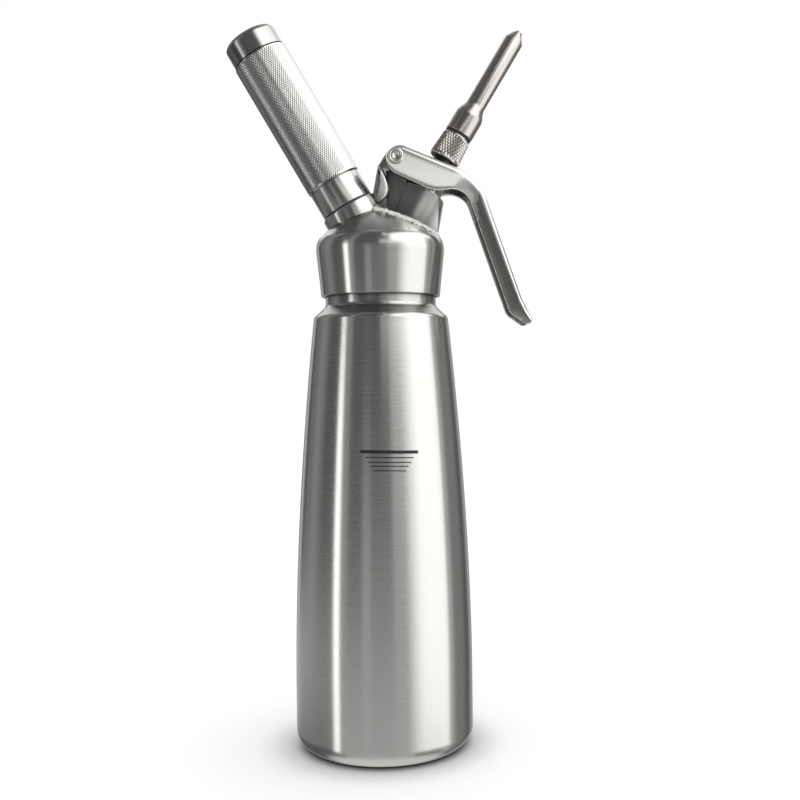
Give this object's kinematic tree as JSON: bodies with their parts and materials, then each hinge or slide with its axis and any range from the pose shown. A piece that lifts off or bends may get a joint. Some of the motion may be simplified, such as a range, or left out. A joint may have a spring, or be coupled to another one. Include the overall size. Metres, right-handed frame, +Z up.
{
  "type": "whipped cream dispenser",
  "caption": "Steel bottle with a screw-on head, squeeze lever valve, slanted knurled charger holder and slanted tulip nozzle.",
  "frame": {"origin": "centre of the bottle's base, on the surface it stands on", "axes": "+Z up the bottle's axis, +X towards the nozzle and the lever, the charger holder leans to -X"},
  "size_m": [0.143, 0.084, 0.3403],
  "materials": {
    "brushed_bottle": "fine brushing round the bottle",
    "brushed_head": "brushed skirt, satin dome and bosses",
    "polished_steel": "near mirror polish",
    "knurled_steel": "fine diamond knurl",
    "dark_steel": "darker satin",
    "plain_steel": "turned",
    "spring_steel": "drawn wire and spring sheet",
    "charger_steel": "zinc bright",
    "brass": "turned",
    "silicone": "matte",
    "white_plastic": "matte"
  },
  "bodies": {
    "bottle": {"bottle": "brushed_bottle"},
    "head": {"head": "brushed_head", "head_gasket": "silicone", "spring_cage": "plain_steel", "valve_spring": "spring_steel", "gland_nut": "plain_steel", "stem_o_ring": "silicone", "stem_wiper": "silicone", "inlet_nipple": "brass", "nipple_o_ring": "silicone", "piercing_pin": "plain_steel", "charger_seal": "silicone", "inlet_check_valve": "silicone", "pivot_pin": "polished_steel", "pin_retainer": "spring_steel", "thrust_washer_near": "white_plastic", "thrust_washer_far": "white_plastic"},
    "lever": {"lever": "polished_steel"},
    "stem": {"valve_stem": "plain_steel", "valve_seal": "silicone"},
    "adapter": {"nozzle_adapter": "dark_steel", "tip_washer": "silicone"},
    "tip": {"nozzle_tip": "dark_steel"},
    "holder": {"holder_tube": "polished_steel", "holder_grip": "knurled_steel", "holder_cap": "polished_steel"},
    "charger": {"gas_charger": "charger_steel"}
  },
  "joints": [
    {"name": "head_unscrew", "type": "slide", "parent": "bottle", "child": "head", "axis": [0, 0, 1], "range_m": [0, 0.07]},
    {"name": "lever_press", "type": "hinge", "parent": "head", "child": "lever", "pos_m": [0.00745, 0, 0.2774], "axis": [0, 1, 0], "range_deg": [0, 7.5], "stiffness_Nm_per_rad": 3, "springref_deg": -11.46},
    {"name": "stem_travel", "type": "slide", "parent": "head", "child": "stem", "axis": [-0.515, 0, -0.8572], "range_m": [0, 0.0019], "deforming": ["valve_spring"]},
    {"name": "adapter_unscrew", "type": "slide", "parent": "stem", "child": "adapter", "axis": [0.515, 0, 0.8572], "range_m": [0, 0.015]},
    {"name": "tip_pull_off", "type": "slide", "parent": "adapter", "child": "tip", "axis": [0.515, 0, 0.8572], "range_m": [0, 0.02]},
    {"name": "holder_unscrew", "type": "slide", "parent": "head", "child": "holder", "axis": [-0.5015, 0, 0.8652], "range_m": [0, 0.095]},
    {"name": "charger_drop", "type": "slide", "parent": "holder", "child": "charger", "axis": [0.5015, 0, -0.8652], "range_m": [0, 0.0666]}
  ],
  "couplings": [
    {"joint": "stem_travel", "follows": "lever_press", "m_per_rad": 0.0145},
    {"joint": "charger_drop", "follows": "holder_unscrew", "ratio": 0.7}
  ]
}
